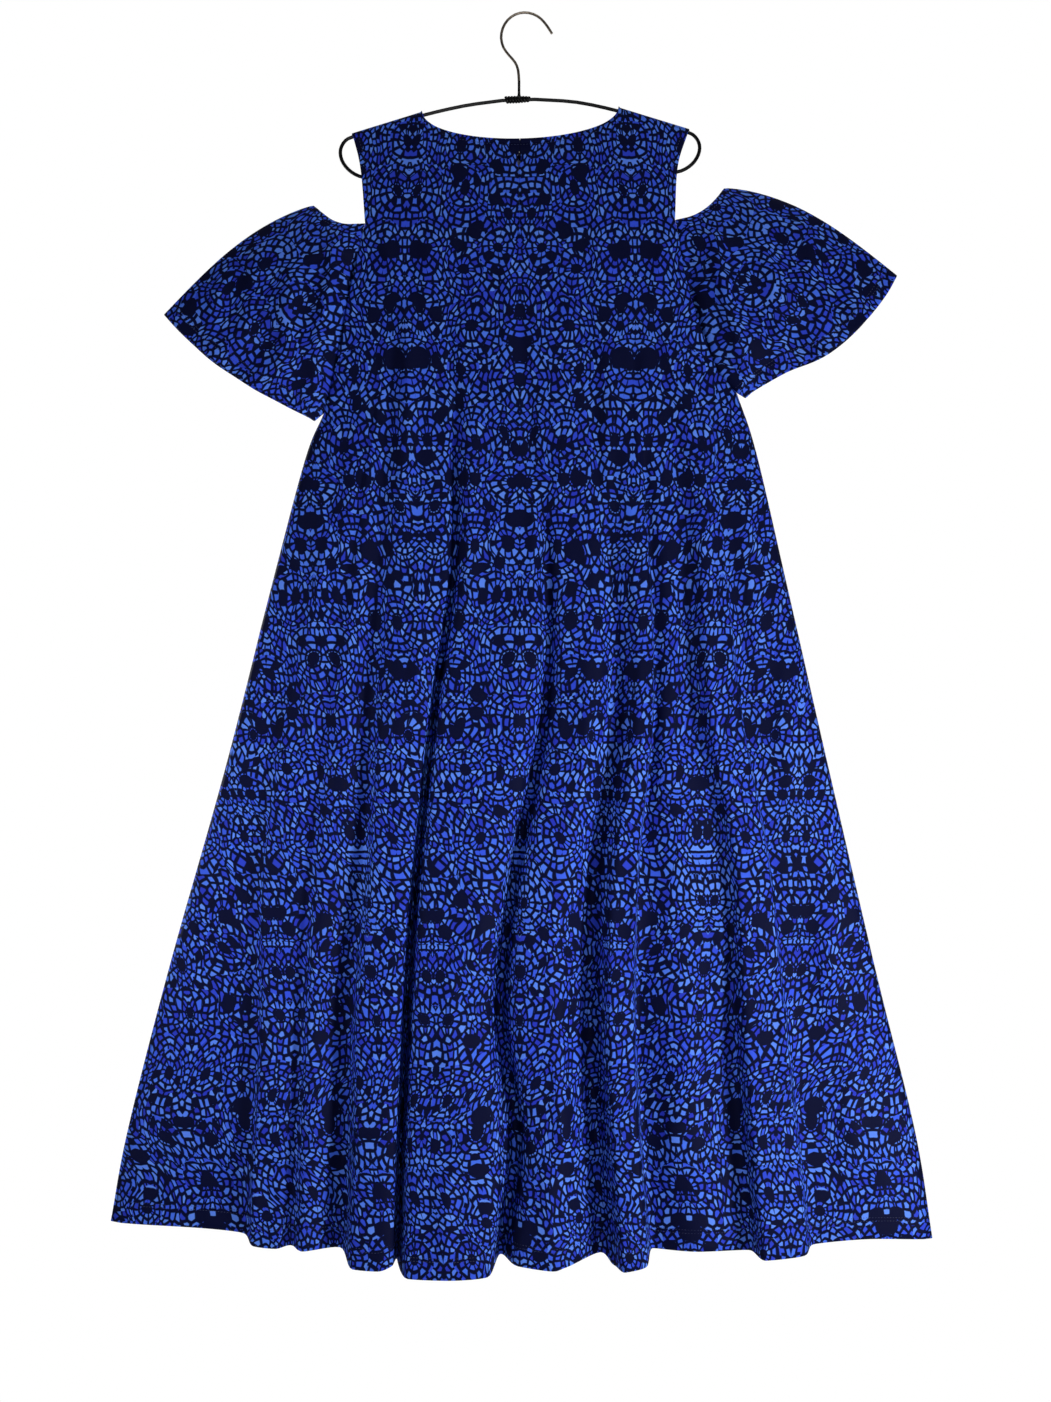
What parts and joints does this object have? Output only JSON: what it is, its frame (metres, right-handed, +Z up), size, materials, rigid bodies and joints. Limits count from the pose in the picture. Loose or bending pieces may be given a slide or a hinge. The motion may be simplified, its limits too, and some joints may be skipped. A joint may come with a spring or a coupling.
{
  "type": "cold shoulder dress on a wire hanger",
  "caption": "Cold shoulder A-line swing dress with short flared sleeves and a back neck slit, hanging in soft folds from a plain wire hanger.",
  "frame": {"origin": "the seat inside the top of the hanger's hook, where a rail or nail carries it", "axes": "+Z up, +X to the right as seen from the dress's back, +Y from the back of the dress to its front"},
  "size_m": [0.8626, 0.1315, 1.3098],
  "materials": {
    "dress_cloth": "smooth printed double-knit jersey, pale on the reverse",
    "fastener_wire": "black enamelled wire",
    "hanger_coating": "black dipped coating, satin",
    "hook_steel": "plated steel wire, slightly tarnished"
  },
  "bodies": {
    "root": {"back_panel": "dress_cloth", "front_panel": "dress_cloth", "left_sleeve": "dress_cloth", "right_sleeve": "dress_cloth", "neck_hook": "fastener_wire", "neck_eye": "fastener_wire", "hanger_frame": "hanger_coating", "hanger_collar": "hanger_coating", "hanger_hook": "hook_steel"}
  },
  "joints": []
}
